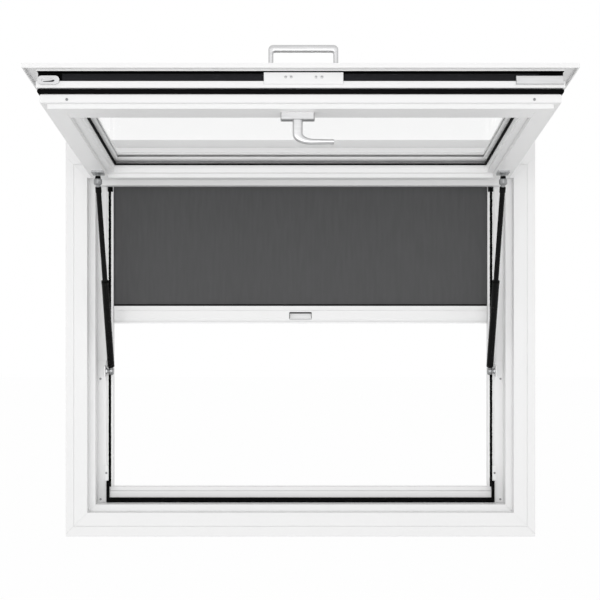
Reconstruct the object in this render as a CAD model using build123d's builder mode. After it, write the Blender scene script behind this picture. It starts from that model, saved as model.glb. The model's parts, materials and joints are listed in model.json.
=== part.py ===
"""Top-hung aluminium serving window with its sash raised on two gas struts and a roller screen half down.

X runs to the right, Y into the building and Z up. The origin lies on the back face of the sill flange,
at mid-width and mid-height of that face. Lengths are in millimetres.
"""
import os
from math import cos, radians, sin

from build123d import *

os.makedirs("parts", exist_ok=True)

# Frame: distances "in" run from the frame's outer edge towards the middle of the window
frame_width = 1000.0
frame_height = 805.0
drip_edge = 5.0
head_cover = 35.0
wall = 2.5
border_width = 18.0
border_thick = 4.0
pad_rise = 2.0
line_width = 1.2
line_depth = 0.8
step_in = 46.0
step_depth = 30.0
reveal_in = 60.0
frame_depth = 69.0

# Inner ring behind the frame, which the sash closes against
stop_in = 79.0
stop_depth = 26.0
sill_seal_height = 10.0
sill_seal_depth = 10.0
seal_end_height = 36.0
seal_end_width = 6.0
seal_round = 2.0

# Hinge along the top of the frame
open_angle = 96.3
hinge_drop = 2.0
hinge_end_in = 60.0
knuckle_count = 7
knuckle_gap = 0.5
barrel_radius = 4.5
pin_radius = 2.0
running_gap = 0.2
frame_leaf_height = 14.0
frame_leaf_thick = 2.0

# Sash: distances "in" run from the edge of the outer lip, distances "down" from the sash's outer face
lip_overlap = 10.0
lip_gap = 0.4
rim_down = 8.2
bevel_in = 34.0
glass_lip_in = 89.0
glass_lip_down = 20.0
block_in = 21.0
groove_down = 8.4
groove_width = 17.0
groove_depth = 12.0
block_down = 37.0
seal_seat_in = 29.0
seal_in = 23.0
seal_seat_down = 47.0
seal_margin = 0.8
flange_in = 27.0
flange_down = 61.0
box_in = 38.0
sash_depth = 69.0
rebate_in = 67.0

# Glazing
pane_thick = 5.0
pane_in = 70.0
spacer_width = 8.0
spacer_thick = 8.0
spacer_set_back = 1.0
tape_thick = 2.5
gasket_thick = 3.0
gasket_in = 74.0
gasket_edge_in = 84.5
bead_edge_in = 82.5
bead_edge_height = 5.0
bead_taper = 2.0
bead_step = 8.0
lock_rail_extra = 24.0

# Lock in the groove of the sash's free edge
lock_bar_thick = 4.0
lock_bar_width = 11.0
lock_bar_end_gap = 43.0
channel_thick = 1.0
channel_end_gap = 2.0
lock_plate_thick = 4.0
cover_length = 133.0
cover_width = 20.0
cover_x = 5.0
cover_edge = 0.8
tongue_width = 14.5
tongue_thick = 5.0
left_tongue_length = 37.0
right_tongue_length = 80.0
tongue_pocket_length = 24.0
tongue_pocket_width = 7.0
tongue_pocket_depth = 2.5
tongue_end_gap = 3.0
cover_down = 11.5
tongue_down = 17.5

# Lever handle on the inner face of the bottom rail
lever_x = -5.0
lever_in = 72.5
lever_base_length = 58.0
lever_base_width = 19.0
lever_base_height = 12.0
lever_base_corner = 2.5
lever_base_edge = 1.0
lever_gap = 0.3
spindle_radius = 4.0
spindle_length = 8.0
neck_width = 17.0
neck_length = 23.0
lever_drop = 41.0
outer_bend_reach = 30.0
inner_bend_reach = 21.5
arm_thick = 8.0
arm_reach = 62.0
lever_width = 15.0
lever_edge = 2.0

# Pull handle on the outer face of the sash
pull_x = 4.6
pull_in = 20.0
pull_length = 117.0
pull_height = 35.0
pull_bar = 11.6
pull_leg = 8.3
pull_width = 12.0
pull_corner = 8.0
pull_inner_corner = 3.0
pull_edge = 2.0

# Gas struts
strut_in = 90.0
strut_low_y = 60.0
strut_low_z = 350.0
strut_top_in = 128.0
strut_top_drop = 20.0
tube_radius = 7.5
tube_length = 216.0
tube_end_taper = 2.0
rod_radius = 5.3
socket_radius = 8.5
lower_socket_width = 10.0
upper_socket_width = 12.0
socket_edge = 2.0
stud_radius = 3.0
stud_reach = 7.0
nut_radius = 6.0
nut_thick = 3.5
shank_radius = 4.5
lower_shank = 11.0
upper_shank = 20.0
ear_thick = 3.0
lower_ear_width = 24.0
lower_foot_height = 44.0
upper_plate_width = 23.0
upper_plate_length = 34.0
upper_plate_thick = 4.0

# Roller screen
rail_in = 93.0
rail_set_back = 3.0
rail_depth = 20.0
brush_in = 83.0
brush_width = 4.5
brush_groove = 4.0
brush_height = 3.0
slot_back = 10.0
slot_width = 4.0
slot_depth = 9.0
sill_rail_step = 5.0
sill_rail_ledge = 2.0
screen_thick = 1.0
screen_edge = 5.0
screen_drop = 491.0
screen_bar_height = 38.0
screen_bar_depth = 16.0
screen_bar_gap = 1.0
bar_bead = 2.0
bar_top_bead = 9.0
bar_bottom_bead = 4.0
bar_line_width = 1.0
bar_line_depth = 1.5
bar_groove_width = 3.0
bar_groove_depth = 8.0
finger_length = 51.0
finger_height = 18.0
finger_depth = 9.0
finger_corner = 3.0
cassette_size = 50.0
cassette_gap = 2.0
cassette_wall = 2.0
cassette_cap = 3.0
cassette_overlap = 17.0
roll_radius = 15.2
roll_gap = 0.3
roll_end_gap = 0.3
catch_width = 9.0
catch_height = 33.0
catch_depth = 5.0
catch_low_z = 112.0
catch_hole = 2.0
catch_overhang = 4.0

# Places that follow from the sizes above
box_side_in = step_in - wall
bottom_z = -(box_side_in + drip_edge) / 2
sill_z = bottom_z + drip_edge
top_z = sill_z + frame_height
middle_z = (sill_z + top_z) / 2
half_width = frame_width / 2
front_y = -(border_thick + pad_rise)
rail_y = frame_depth + rail_set_back
slot_y = rail_y + slot_back

right_way = Vector(1, 0, 0)
inside_way = Vector(0, 1, 0)
up_way = Vector(0, 0, 1)

# The sash's own directions: down its length from the hinge, and through its thickness to the inner face
length_way = Vector(0, -sin(radians(open_angle)), -cos(radians(open_angle)))
depth_way = Vector(0, cos(radians(open_angle)), -sin(radians(open_angle)))
axis_point = Vector(0, -(border_thick + barrel_radius + running_gap), top_z - hinge_drop)
axis_down = axis_point.Y - (front_y - lip_gap - rim_down)
sash_start = step_in - lip_overlap - hinge_drop
sash_length = frame_height - 2 * (step_in - lip_overlap)
sash_half_width = half_width - step_in + lip_overlap
sash_middle = sash_start + sash_length / 2
sash_end = sash_start + sash_length
hinge_length = frame_width - 2 * hinge_end_in
strut_x = half_width - strut_in


def sash_point(across, along, down):
    """A point of the sash, from the hinge axis and the sash's outer face."""
    return axis_point + right_way * across + length_way * along + depth_way * (down - axis_down)


def sash_plane(down):
    """A plane parallel to the sash's faces, centred on the sash."""
    return Plane(origin=sash_point(0, sash_middle, down), x_dir=right_way, z_dir=depth_way)


def save(name, piece):
    """Label a finished piece and write its file."""
    piece.label = name
    export_step(piece, f"parts/{name}.step")


def mitred_bar(edge_middle, inward, depth, half_length, outline, chamber=None):
    """A straight extrusion along one side of a rectangle, cut at 45 degrees at both ends."""
    along = inward.cross(depth)
    with BuildPart() as bar:
        with BuildSketch(Plane(origin=edge_middle, x_dir=inward, z_dir=along)):
            with BuildLine():
                Polyline(*outline, close=True)
            make_face()
            if chamber:
                with BuildLine():
                    Polyline(*chamber, close=True)
                make_face(mode=Mode.SUBTRACT)
        extrude(amount=half_length, both=True)
        for end in (-1, 1):
            corner = edge_middle + along * (end * half_length)
            split(bisect_by=Plane(origin=corner, z_dir=along * end + inward), keep=Keep.BOTTOM)
    return bar.part


def sash_ring(outer_in, inner_in, down, thick, bottom_extra=0.0):
    """A flat rectangular ring that runs round the sash; its bottom side may lie further in."""
    ring_length = sash_length - bottom_extra
    with BuildPart() as ring:
        with BuildSketch(sash_plane(down)):
            with Locations((0, -bottom_extra / 2)):
                Rectangle(2 * (sash_half_width - outer_in), ring_length - 2 * outer_in)
                Rectangle(2 * (sash_half_width - inner_in), ring_length - 2 * inner_in, mode=Mode.SUBTRACT)
        extrude(amount=thick)
    return ring.part


# Outer frame: one stepped, flanged hollow section on four sides, with a cover strip above the hinge
frame_section = [
    (0, 0),
    (0, -border_thick),
    (border_width - line_width, -border_thick),
    (border_width - line_width, line_depth - border_thick),
    (border_width, line_depth - border_thick),
    (border_width, front_y),
    (step_in, front_y),
    (step_in, front_y + step_depth),
    (reveal_in, front_y + step_depth),
    (reveal_in, frame_depth),
    (box_side_in, frame_depth),
    (box_side_in, 0),
]
frame_chamber = [
    (step_in, front_y + step_depth + wall),
    (reveal_in - wall, front_y + step_depth + wall),
    (reveal_in - wall, frame_depth - wall),
    (step_in, frame_depth - wall),
]
sill_section = [(-drip_edge, 0), (-drip_edge, -border_thick)] + frame_section[2:]
head_section = [(-head_cover, 0), (-head_cover, -border_thick)] + frame_section[2:]
left_edge = Vector(-half_width, 0, middle_z)
right_edge = Vector(half_width, 0, middle_z)
head_edge = Vector(0, 0, top_z)
sill_edge = Vector(0, 0, sill_z)
frame_sides = {
    "frame_left_jamb": (left_edge, right_way, frame_height / 2, frame_section),
    "frame_right_jamb": (right_edge, -right_way, frame_height / 2, frame_section),
    "frame_head": (head_edge, -up_way, half_width, head_section),
    "frame_sill": (sill_edge, up_way, half_width, sill_section),
}
for name, (edge_middle, inward, half_length, section) in frame_sides.items():
    save(name, mitred_bar(edge_middle, inward, inside_way, half_length, section, frame_chamber))

# Inner ring: a hollow stop up each jamb and one along the sill between them
stop_bottom_z = sill_z + box_side_in
cassette_z = top_z - reveal_in + cassette_gap
stop_middle_x = half_width - (box_side_in + stop_in) / 2
stop_middle_y = frame_depth + stop_depth / 2
for side, sign in (("left", -1), ("right", 1)):
    with BuildPart() as stop:
        with BuildSketch(Plane.XY.offset(stop_bottom_z)):
            with Locations((sign * stop_middle_x, stop_middle_y)):
                Rectangle(stop_in - box_side_in, stop_depth)
                Rectangle(stop_in - box_side_in - 2 * wall, stop_depth - 2 * wall, mode=Mode.SUBTRACT)
        extrude(amount=cassette_z - stop_bottom_z)
    save(f"{side}_stop", stop.part)

opening_half = half_width - stop_in
stop_top_z = sill_z + stop_in
with BuildPart() as sill_stop:
    with BuildSketch(Plane.YZ):
        with Locations((stop_middle_y, (stop_bottom_z + stop_top_z) / 2)):
            Rectangle(stop_depth, stop_in - box_side_in)
            Rectangle(stop_depth - 2 * wall, stop_in - box_side_in - 2 * wall, mode=Mode.SUBTRACT)
    extrude(amount=opening_half, both=True)
save("sill_stop", sill_stop.part)

# Seal on the sill, turned up at both ends
reveal_z = sill_z + reveal_in
with BuildPart() as sill_seal:
    with BuildSketch(Plane.XZ.offset(-frame_depth)):
        with Locations((0, reveal_z + sill_seal_height / 2)):
            Rectangle(2 * opening_half, sill_seal_height)
        for sign in (-1, 1):
            end_x = sign * (opening_half - seal_end_width / 2)
            with Locations((end_x, reveal_z + sill_seal_height + seal_end_height / 2)):
                Rectangle(seal_end_width, seal_end_height)
    extrude(amount=sill_seal_depth)
    fillet(sill_seal.edges().filter_by(Axis.X).group_by(Axis.Y)[0], radius=seal_round)
save("sill_seal", sill_seal.part)

# Screen guides: a slotted rail up each side with a brush strip in its face, and a stepped rail on the sill
rail_top_z = sill_z + rail_in
rail_length = cassette_z - rail_top_z
rail_section = [
    (stop_in, rail_y),
    (brush_in, rail_y),
    (brush_in, rail_y + brush_groove),
    (brush_in + brush_width, rail_y + brush_groove),
    (brush_in + brush_width, rail_y),
    (rail_in, rail_y),
    (rail_in, slot_y - slot_width / 2),
    (rail_in - slot_depth, slot_y - slot_width / 2),
    (rail_in - slot_depth, slot_y + slot_width / 2),
    (rail_in, slot_y + slot_width / 2),
    (rail_in, rail_y + rail_depth),
    (stop_in, rail_y + rail_depth),
]
for side, sign in (("left", -1), ("right", 1)):
    with BuildPart() as guide_rail:
        with BuildSketch(Plane.XY.offset(rail_top_z)):
            with BuildLine():
                Polyline(*[(sign * (half_width - inward), y) for inward, y in rail_section], close=True)
            make_face()
        extrude(amount=rail_length)
    save(f"{side}_guide_rail", guide_rail.part)

brush_x = half_width - brush_in - brush_width / 2
with BuildPart() as guide_brushes:
    with BuildSketch(Plane.XY.offset(rail_top_z)):
        with Locations((-brush_x, rail_y + brush_groove - brush_height / 2)):
            Rectangle(brush_width, brush_height)
        with Locations((brush_x, rail_y + brush_groove - brush_height / 2)):
            Rectangle(brush_width, brush_height)
    extrude(amount=rail_length)
save("guide_brushes", guide_brushes.part)

with BuildPart() as sill_rail:
    with BuildSketch(Plane.YZ):
        with BuildLine():
            Polyline(
                (rail_y - sill_rail_ledge, stop_top_z),
                (rail_y - sill_rail_ledge, stop_top_z + sill_rail_step),
                (rail_y, stop_top_z + sill_rail_step),
                (rail_y, rail_top_z),
                (rail_y + rail_depth, rail_top_z),
                (rail_y + rail_depth, stop_top_z),
                close=True,
            )
        make_face()
    extrude(amount=opening_half, both=True)
save("sill_rail", sill_rail.part)

# Catches for the screen's bar, one low on each stop
catch_x = half_width - stop_in - catch_overhang + catch_width / 2
catch_z = bottom_z + catch_low_z + catch_height / 2
with BuildPart() as screen_catches:
    with BuildSketch(Plane.XZ.offset(-frame_depth)):
        for sign in (-1, 1):
            with Locations((sign * catch_x, catch_z)):
                Rectangle(catch_width, catch_height)
                Circle(catch_hole, mode=Mode.SUBTRACT)
    extrude(amount=catch_depth)
save("screen_catches", screen_catches.part)

# Roller screen: a cassette behind the head, the roll in it, the fabric and its bottom bar
fabric_y = slot_y
cassette_middle_z = cassette_z + cassette_size / 2
cassette_y = frame_depth + cassette_size / 2
cassette_half = opening_half + cassette_overlap
with BuildPart() as screen_cassette:
    with BuildSketch(Plane.YZ):
        with Locations((cassette_y, cassette_middle_z)):
            Rectangle(cassette_size, cassette_size)
    extrude(amount=cassette_half, both=True)
    with BuildSketch(Plane.YZ):
        with Locations((cassette_y, cassette_middle_z)):
            Rectangle(cassette_size - 2 * cassette_wall, cassette_size - 2 * cassette_wall)
        with Locations((fabric_y, cassette_z)):
            Rectangle(2 * slot_width, 2 * slot_width)
    extrude(amount=cassette_half - cassette_cap, both=True, mode=Mode.SUBTRACT)
save("screen_cassette", screen_cassette.part)

roll_y = fabric_y + screen_thick / 2 + roll_gap + roll_radius
with BuildPart() as roller_tube:
    with BuildSketch(Plane.YZ):
        with Locations((roll_y, cassette_middle_z)):
            Circle(roll_radius)
    extrude(amount=cassette_half - cassette_cap - roll_end_gap, both=True)
save("roller_tube", roller_tube.part)

rail_edge_x = half_width - rail_in
bar_top_z = bottom_z + screen_drop
bar_low_z = bar_top_z - screen_bar_height
fabric_low_z = bar_top_z - bar_groove_depth
with BuildPart() as screen_fabric:
    with BuildSketch(Plane.XZ.offset(-fabric_y - screen_thick / 2)):
        with Locations((0, (fabric_low_z + cassette_middle_z) / 2)):
            Rectangle(2 * (rail_edge_x + screen_edge), cassette_middle_z - fabric_low_z)
    extrude(amount=screen_thick)
save("screen_fabric", screen_fabric.part)

bar_y = fabric_y - screen_bar_depth / 2
bar_face_y = bar_y + bar_bead
bar_line_y = bar_face_y + bar_line_depth
low_bead_z = bar_low_z + bar_bottom_bead
top_bead_z = bar_top_z - bar_top_bead
with BuildPart() as screen_bar:
    with BuildSketch(Plane.YZ):
        with BuildLine():
            Polyline(
                (bar_y, bar_low_z),
                (bar_y, low_bead_z),
                (bar_line_y, low_bead_z),
                (bar_line_y, low_bead_z + bar_line_width),
                (bar_face_y, low_bead_z + bar_line_width),
                (bar_face_y, top_bead_z - bar_line_width),
                (bar_line_y, top_bead_z - bar_line_width),
                (bar_line_y, top_bead_z),
                (bar_y, top_bead_z),
                (bar_y, bar_top_z),
                (fabric_y - bar_groove_width / 2, bar_top_z),
                (fabric_y - bar_groove_width / 2, fabric_low_z),
                (fabric_y + bar_groove_width / 2, fabric_low_z),
                (fabric_y + bar_groove_width / 2, bar_top_z),
                (bar_y + screen_bar_depth, bar_top_z),
                (bar_y + screen_bar_depth, bar_low_z),
                close=True,
            )
        make_face()
    extrude(amount=rail_edge_x - screen_bar_gap, both=True)
    with BuildSketch(Plane.YZ):
        with Locations((fabric_y, (bar_low_z + fabric_low_z) / 2)):
            Rectangle(bar_groove_width, (fabric_low_z - bar_low_z) / 2)
    extrude(amount=rail_edge_x + screen_edge, both=True)
    with BuildSketch(Plane.XZ.offset(-bar_face_y)):
        with Locations((0, (low_bead_z + top_bead_z) / 2)):
            RectangleRounded(finger_length, finger_height, finger_corner)
    extrude(amount=-finger_depth, mode=Mode.SUBTRACT)
save("screen_bar", screen_bar.part)

# Continuous hinge: knuckles alternate between the frame's leaf and the sash's leaf
knuckle_pitch = hinge_length / knuckle_count
knuckles = [(index + 0.5) * knuckle_pitch - hinge_length / 2 for index in range(knuckle_count)]
knuckle_half = (knuckle_pitch - knuckle_gap) / 2
clear_radius = barrel_radius + running_gap + knuckle_gap
frame_leaf_y = -(border_thick + frame_leaf_thick / 2)
frame_leaf_low_z = axis_point.Z - frame_leaf_height
with BuildPart() as hinge_frame_leaf:
    with Locations((0, frame_leaf_y, (frame_leaf_low_z + axis_point.Z - clear_radius) / 2)):
        Box(hinge_length, frame_leaf_thick, frame_leaf_height - clear_radius)
    for x in knuckles[0::2]:
        with Locations((x, frame_leaf_y, axis_point.Z - clear_radius / 2)):
            Box(2 * knuckle_half, frame_leaf_thick, clear_radius)
        with BuildSketch(Plane.YZ.offset(x)):
            with Locations((axis_point.Y, axis_point.Z)):
                Circle(barrel_radius)
        extrude(amount=knuckle_half, both=True)
    with BuildSketch(Plane.YZ):
        with Locations((axis_point.Y, axis_point.Z)):
            Circle(pin_radius + running_gap)
    extrude(amount=hinge_length, both=True, mode=Mode.SUBTRACT)
save("hinge_frame_leaf", hinge_frame_leaf.part)

sash_leaf_end = sash_start + block_in
hinge_plane = Plane(origin=axis_point, x_dir=length_way, z_dir=right_way)
sash_leaf_offset = axis_down - wall - wall / 2
with BuildPart() as hinge_sash_leaf:
    with BuildSketch(hinge_plane):
        with Locations(((clear_radius + sash_leaf_end) / 2, sash_leaf_offset)):
            Rectangle(sash_leaf_end - clear_radius, wall)
    extrude(amount=hinge_length / 2, both=True)
    for x in knuckles[1::2]:
        with BuildSketch(hinge_plane.offset(x)):
            Circle(barrel_radius)
            with Locations((clear_radius / 2, sash_leaf_offset)):
                Rectangle(clear_radius, wall)
        extrude(amount=knuckle_half, both=True)
    with BuildSketch(hinge_plane):
        Circle(pin_radius + running_gap)
    extrude(amount=hinge_length, both=True, mode=Mode.SUBTRACT)
save("hinge_sash_leaf", hinge_sash_leaf.part)

with BuildPart() as hinge_pin:
    with BuildSketch(hinge_plane):
        Circle(pin_radius)
    extrude(amount=hinge_length / 2, both=True)
save("hinge_pin", hinge_pin.part)

# Sash: a hollow section with a rimmed outer lip, a lock groove, a seal seat and a glazing rebate
glass_seat_down = glass_lip_down + wall
sash_inner_outline = [
    (bevel_in, 0),
    (glass_lip_in, glass_lip_down),
    (glass_lip_in, glass_seat_down),
    (rebate_in, glass_seat_down),
    (rebate_in, sash_depth),
    (box_in, sash_depth),
    (box_in, flange_down),
    (flange_in, flange_down),
    (flange_in, seal_seat_down),
    (seal_seat_in, seal_seat_down),
    (seal_seat_in, block_down),
    (block_in, block_down),
    (block_in, groove_down + groove_width),
    (block_in + groove_depth, groove_down + groove_width),
    (block_in + groove_depth, groove_down),
    (block_in, groove_down),
    (block_in, wall),
]
sash_section = [(0, 0)] + sash_inner_outline + [(wall, wall), (wall, rim_down), (0, rim_down)]
hinge_rail_section = [(0, 0)] + sash_inner_outline + [(0, wall)]
chamber_in = block_in + groove_depth + wall
chamber_far_in = rebate_in - wall
bevel_slope = glass_lip_down / (glass_lip_in - bevel_in)
sash_chamber = [
    (chamber_in, wall + bevel_slope * (chamber_in - bevel_in)),
    (chamber_far_in, wall + bevel_slope * (chamber_far_in - bevel_in)),
    (chamber_far_in, sash_depth - wall),
    (box_in + wall, sash_depth - wall),
    (box_in + wall, flange_down - wall),
    (seal_seat_in + wall, flange_down - wall),
    (seal_seat_in + wall, groove_down + groove_width + wall),
    (chamber_in, groove_down + groove_width + wall),
]
sash_sides = {
    "left": (sash_point(-sash_half_width, sash_middle, 0), right_way, sash_length / 2),
    "right": (sash_point(sash_half_width, sash_middle, 0), -right_way, sash_length / 2),
    "top": (sash_point(0, sash_start, 0), length_way, sash_half_width),
    "bottom": (sash_point(0, sash_end, 0), -length_way, sash_half_width),
}
sash_names = {
    "left": "sash_left_stile",
    "right": "sash_right_stile",
    "top": "sash_top_rail",
    "bottom": "sash_bottom_rail",
}
for side, (edge_middle, inward, half_length) in sash_sides.items():
    section = hinge_rail_section if side == "top" else sash_section
    save(sash_names[side], mitred_bar(edge_middle, inward, depth_way, half_length, section, sash_chamber))

# Glazing: two panes on a spacer, bedded on white tape and held by a black gasket and beads on the inner side
outer_pane_down = glass_seat_down + tape_thick
spacer_down = outer_pane_down + pane_thick
inner_pane_down = spacer_down + spacer_thick
bead_down = inner_pane_down + pane_thick + gasket_thick
bead_face_in = bead_edge_in - bead_taper
bead_section = [
    (rebate_in, bead_down),
    (bead_edge_in, bead_down),
    (bead_edge_in, bead_down + bead_edge_height),
    (bead_face_in, bead_down + bead_edge_height + bead_taper),
    (bead_face_in, sash_depth - bead_step),
    (rebate_in, sash_depth - bead_step),
]
lock_rail_in = bead_edge_in + lock_rail_extra
lock_rail_face = Plane(origin=sash_point(0, sash_end - lock_rail_in, 0), x_dir=right_way, z_dir=length_way)
for side in ("left", "right", "top"):
    edge_middle, inward, half_length = sash_sides[side]
    whole_bead = mitred_bar(edge_middle, inward, depth_way, half_length, bead_section)
    with BuildPart() as bead:
        add(whole_bead)
        if side != "top":
            split(bisect_by=lock_rail_face, keep=Keep.BOTTOM)
    save(f"{side}_bead", bead.part)

# The bottom bead is a wide hollow rail between the stiles, flush with the inner face, to carry the lever
lock_rail_width = lock_rail_in - rebate_in
lock_rail_height = sash_depth - bead_down
edge_middle, inward, half_length = sash_sides["bottom"]
with BuildPart() as bottom_bead:
    with BuildSketch(Plane(origin=edge_middle, x_dir=inward, z_dir=inward.cross(depth_way))):
        with Locations((rebate_in + lock_rail_width / 2, bead_down + lock_rail_height / 2)):
            Rectangle(lock_rail_width, lock_rail_height)
            Rectangle(lock_rail_width - 2 * wall, lock_rail_height - 2 * wall, mode=Mode.SUBTRACT)
    extrude(amount=half_length - rebate_in, both=True)
save("bottom_bead", bottom_bead.part)

for name, down in (("outer_pane", outer_pane_down), ("inner_pane", inner_pane_down)):
    with BuildPart() as pane:
        with BuildSketch(sash_plane(down)):
            Rectangle(2 * (sash_half_width - pane_in), sash_length - 2 * pane_in)
        extrude(amount=pane_thick)
    save(name, pane.part)

spacer_in = pane_in + spacer_set_back
save("glazing_spacer", sash_ring(spacer_in, spacer_in + spacer_width, spacer_down, spacer_thick))
save("glazing_tape", sash_ring(gasket_in, glass_lip_in, glass_seat_down, tape_thick))
gasket_down = bead_down - gasket_thick
save("glazing_gasket", sash_ring(gasket_in, gasket_edge_in, gasket_down, gasket_thick, lock_rail_extra))
seal_thick = seal_seat_down - block_down - 2 * seal_margin
save("sash_seal", sash_ring(seal_in, seal_seat_in, block_down + seal_margin, seal_thick))

# Lock: a black channel in the groove, a sliding bar in it, its cover plate and its two end tongues
edge_plane = Plane(origin=sash_point(0, sash_end - block_in, 0), x_dir=right_way, z_dir=length_way)
bar_middle_down = groove_down + groove_width / 2
edge_half = sash_half_width - block_in
with BuildPart() as lock_channel:
    with BuildSketch(edge_plane.offset(-groove_depth)):
        with Locations((0, -bar_middle_down)):
            Rectangle(2 * (edge_half - channel_end_gap), groove_width)
    extrude(amount=groove_depth)
    with BuildSketch(edge_plane):
        with Locations((0, -bar_middle_down)):
            Rectangle(2 * edge_half, groove_width - 2 * channel_thick)
    extrude(amount=channel_thick - groove_depth, mode=Mode.SUBTRACT)
save("lock_channel", lock_channel.part)

with BuildPart() as lock_bar:
    with BuildSketch(edge_plane.offset(channel_thick - groove_depth)):
        with Locations((0, -bar_middle_down)):
            Rectangle(2 * (edge_half - lock_bar_end_gap), lock_bar_width)
    extrude(amount=lock_bar_thick)
save("lock_bar", lock_bar.part)

with BuildPart() as lock_cover:
    with BuildSketch(edge_plane):
        with Locations((cover_x, -cover_down - cover_width / 2)):
            Rectangle(cover_length, cover_width)
    extrude(amount=lock_plate_thick)
    chamfer(lock_cover.faces().filter_by(edge_plane).sort_by(Axis.Y)[0].edges(), length=cover_edge)
save("lock_cover", lock_cover.part)

tongue_limit = edge_half - tongue_end_gap
tongue_middle_down = tongue_down + tongue_width / 2
left_tongue_x = left_tongue_length / 2 - tongue_limit
with BuildPart() as left_lock_tongue:
    with BuildSketch(edge_plane):
        with Locations((left_tongue_x, -tongue_middle_down)):
            SlotOverall(left_tongue_length, tongue_width)
    extrude(amount=tongue_thick)
    with BuildSketch(edge_plane.offset(tongue_thick)):
        with Locations((left_tongue_x, -tongue_middle_down)):
            SlotOverall(tongue_pocket_length, tongue_pocket_width)
    extrude(amount=-tongue_pocket_depth, mode=Mode.SUBTRACT)
save("left_lock_tongue", left_lock_tongue.part)

with BuildPart() as right_lock_tongue:
    with BuildSketch(edge_plane):
        with Locations((tongue_limit - right_tongue_length / 2, -tongue_middle_down)):
            Rectangle(right_tongue_length, tongue_width)
    extrude(amount=tongue_thick)
    chamfer(right_lock_tongue.faces().filter_by(edge_plane).sort_by(Axis.Y)[0].edges(), length=cover_edge)
save("right_lock_tongue", right_lock_tongue.part)

# Lever handle and its base, on the inner face of the bottom rail
lever_along = sash_end - lever_in
base_plane = Plane(origin=sash_point(lever_x, lever_along, sash_depth), x_dir=right_way, z_dir=depth_way)
with BuildPart() as lever_base:
    with BuildSketch(base_plane):
        RectangleRounded(lever_base_length, lever_base_width, lever_base_corner)
    extrude(amount=lever_base_height)
    chamfer(lever_base.faces().filter_by(base_plane).sort_by(Axis.Z)[0].edges(), length=lever_base_edge)
    with BuildSketch(base_plane.offset(lever_base_height)):
        Circle(spindle_radius + lever_gap)
    extrude(amount=-spindle_length - lever_gap, mode=Mode.SUBTRACT)
save("lever_base", lever_base.part)

lever_start = sash_depth + lever_base_height + lever_gap
lever_plane = Plane(
    origin=sash_point(lever_x, lever_along, lever_start), x_dir=right_way, z_dir=-length_way
)
neck_half = neck_width / 2
arm_top = lever_drop - arm_thick
outer_bend_x = outer_bend_reach - neck_half
inner_bend_x = inner_bend_reach + neck_half
arm_end = arm_reach - arm_thick / 2
with BuildPart() as lever_handle:
    with BuildSketch(lever_plane):
        with BuildLine():
            Polyline((-neck_half, neck_length), (-neck_half, 0), (neck_half, 0), (neck_half, neck_length))
            EllipticalCenterArc(
                (outer_bend_x, neck_length), outer_bend_reach, lever_drop - neck_length, start_angle=90, arc_size=90
            )
            EllipticalCenterArc(
                (inner_bend_x, neck_length), inner_bend_reach, arm_top - neck_length, start_angle=90, arc_size=90
            )
            Line((outer_bend_x, lever_drop), (arm_end, lever_drop))
            ThreePointArc((arm_end, lever_drop), (arm_reach, lever_drop - arm_thick / 2), (arm_end, arm_top))
            Line((arm_end, arm_top), (inner_bend_x, arm_top))
        make_face()
    extrude(amount=lever_width / 2, both=True)
    chamfer(lever_handle.faces().filter_by(lever_plane).edges(), length=lever_edge)
    with BuildSketch(base_plane.offset(lever_base_height + lever_gap)):
        Circle(spindle_radius)
    extrude(amount=-spindle_length)
save("lever_handle", lever_handle.part)

# Pull handle: a flat-backed bow on the rim of the outer face
pull_plane = Plane(
    origin=sash_point(pull_x, sash_end - pull_in, 0), x_dir=right_way, z_dir=length_way
)
with BuildPart() as pull_handle:
    with BuildSketch(pull_plane) as bow:
        with Locations((0, pull_height / 2)):
            Rectangle(pull_length, pull_height)
        fillet(bow.vertices().group_by(Axis.Y)[-1], radius=pull_corner)
        with BuildSketch(pull_plane, mode=Mode.SUBTRACT) as gap:
            with Locations((0, (pull_height - pull_bar) / 2)):
                Rectangle(pull_length - 2 * pull_leg, pull_height - pull_bar)
            fillet(gap.vertices().group_by(Axis.Y)[-1], radius=pull_inner_corner)
    extrude(amount=pull_width / 2, both=True)
    chamfer(pull_handle.edges().group_by(SortBy.LENGTH)[-1], length=pull_edge)
save("pull_handle", pull_handle.part)

# Gas struts: a bracket on each stop and a plate on each stile, zinc end fittings, a tube and a rod between
strut_top_along = sash_start + strut_top_in
strut_top_down = sash_depth + strut_top_drop
ear_x = strut_x + lower_socket_width / 2 + stud_reach
ear_low_y = strut_low_y - lower_ear_width / 2
plate_reach = strut_top_drop - upper_plate_thick


def end_fitting(centre, stud_way, stud_end, socket_width, strut_way, shank):
    """A socket on a stud with a nut at the stud's far end, and a shank along the strut."""
    with BuildPart() as fitting:
        with BuildSketch(Plane(origin=centre, x_dir=stud_way.cross(strut_way), z_dir=stud_way)) as disc:
            Circle(socket_radius)
        extrude(disc.sketch, amount=socket_width / 2, both=True)
        chamfer(fitting.edges().filter_by(GeomType.CIRCLE), length=socket_edge)
        with BuildSketch(Plane(origin=centre, z_dir=stud_way)) as stud:
            Circle(stud_radius)
        extrude(stud.sketch, amount=stud_end)
        with BuildSketch(Plane(origin=centre + stud_way * (stud_end - nut_thick), z_dir=stud_way)) as nut:
            RegularPolygon(nut_radius, side_count=6)
        extrude(nut.sketch, amount=nut_thick)
        with BuildSketch(Plane(origin=centre, z_dir=strut_way)) as rod_end:
            Circle(shank_radius)
        extrude(rod_end.sketch, amount=shank)
    return fitting.part


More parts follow.
